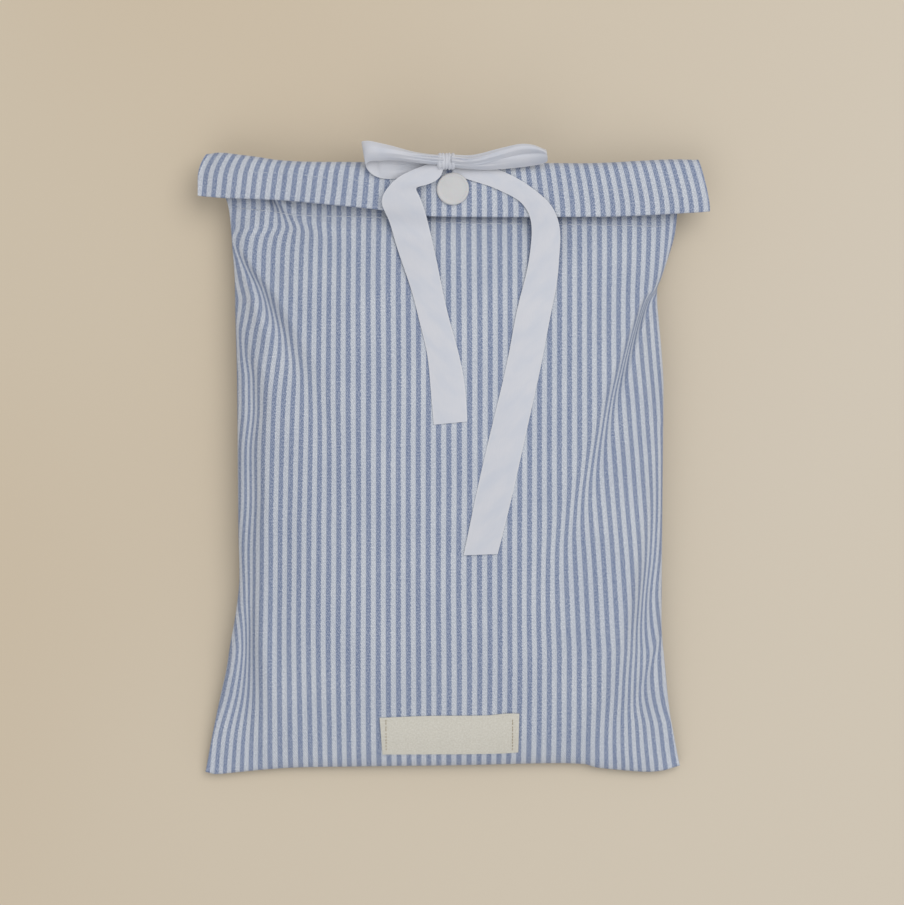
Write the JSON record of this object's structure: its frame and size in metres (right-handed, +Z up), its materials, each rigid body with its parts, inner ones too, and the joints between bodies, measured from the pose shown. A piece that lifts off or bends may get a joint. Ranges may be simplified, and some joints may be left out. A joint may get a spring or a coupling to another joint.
{
  "type": "fold-over snap pouch",
  "caption": "Soft striped cotton pouch, filled shape, with a folded-over flap closed by a round snap, a satin ribbon bow with two long tails, and a blank sewn label.",
  "frame": {"origin": "on the surface the pouch rests on, under the middle of its bounding box", "axes": "+X to the pouch's right, +Y to its mouth, +Z up through its thickness as it lies on its back"},
  "size_m": [0.195, 0.2419, 0.0305],
  "materials": {
    "striped_cotton": "blue and white striped cotton twill, matte",
    "satin_ribbon": "white satin, soft sheen",
    "white_thread": "white sewing thread",
    "white_plastic": "white moulded plastic, satin",
    "label_linen": "plain-woven natural linen, matte"
  },
  "bodies": {
    "pouch": {"front_panel": "striped_cotton", "back_panel": "striped_cotton", "front_mouth_hem": "striped_cotton", "side_seam_left": "striped_cotton", "side_seam_right": "striped_cotton", "bottom_seam": "striped_cotton", "mouth_hem_stitches": "white_thread", "side_seam_stitches_left": "white_thread", "side_seam_stitches_right": "white_thread", "bottom_seam_stitches": "white_thread", "snap_stud": "white_plastic", "snap_inner_cap": "white_plastic", "label": "label_linen", "label_stitches_left": "white_thread", "label_stitches_right": "white_thread"},
    "flap": {"flap_panel": "striped_cotton", "flap_hem": "striped_cotton", "flap_hem_stitches": "white_thread", "snap_outer_cap": "white_plastic", "snap_socket": "white_plastic", "ribbon_knot": "satin_ribbon", "ribbon_tack": "white_thread"},
    "tail_left": {"ribbon_tail_left": "satin_ribbon"},
    "tail_right": {"ribbon_tail_right": "satin_ribbon"},
    "loop_left": {"ribbon_loop_left": "satin_ribbon"},
    "loop_right": {"ribbon_loop_right": "satin_ribbon"}
  },
  "joints": [
    {"name": "flap_fold", "type": "hinge", "parent": "pouch", "child": "flap", "pos_m": [0, 0.113, 0.0085], "axis": [-1, 0, 0], "range_deg": [0, 90]},
    {"name": "tail_left_lift", "type": "hinge", "parent": "flap", "child": "tail_left", "pos_m": [-0.015, 0.1099, 0.0222], "axis": [-1, 0, 0], "range_deg": [0, 80]},
    {"name": "tail_right_lift", "type": "hinge", "parent": "flap", "child": "tail_right", "pos_m": [0.01, 0.1099, 0.0222], "axis": [-1, 0, 0], "range_deg": [0, 80]},
    {"name": "loop_left_lift", "type": "hinge", "parent": "flap", "child": "loop_left", "pos_m": [-0.0062, 0.1139, 0.024], "axis": [0, 1, 0], "range_deg": [0, 25]},
    {"name": "loop_right_lift", "type": "hinge", "parent": "flap", "child": "loop_right", "pos_m": [0.0032, 0.1139, 0.024], "axis": [0, -1, 0], "range_deg": [0, 25]}
  ]
}
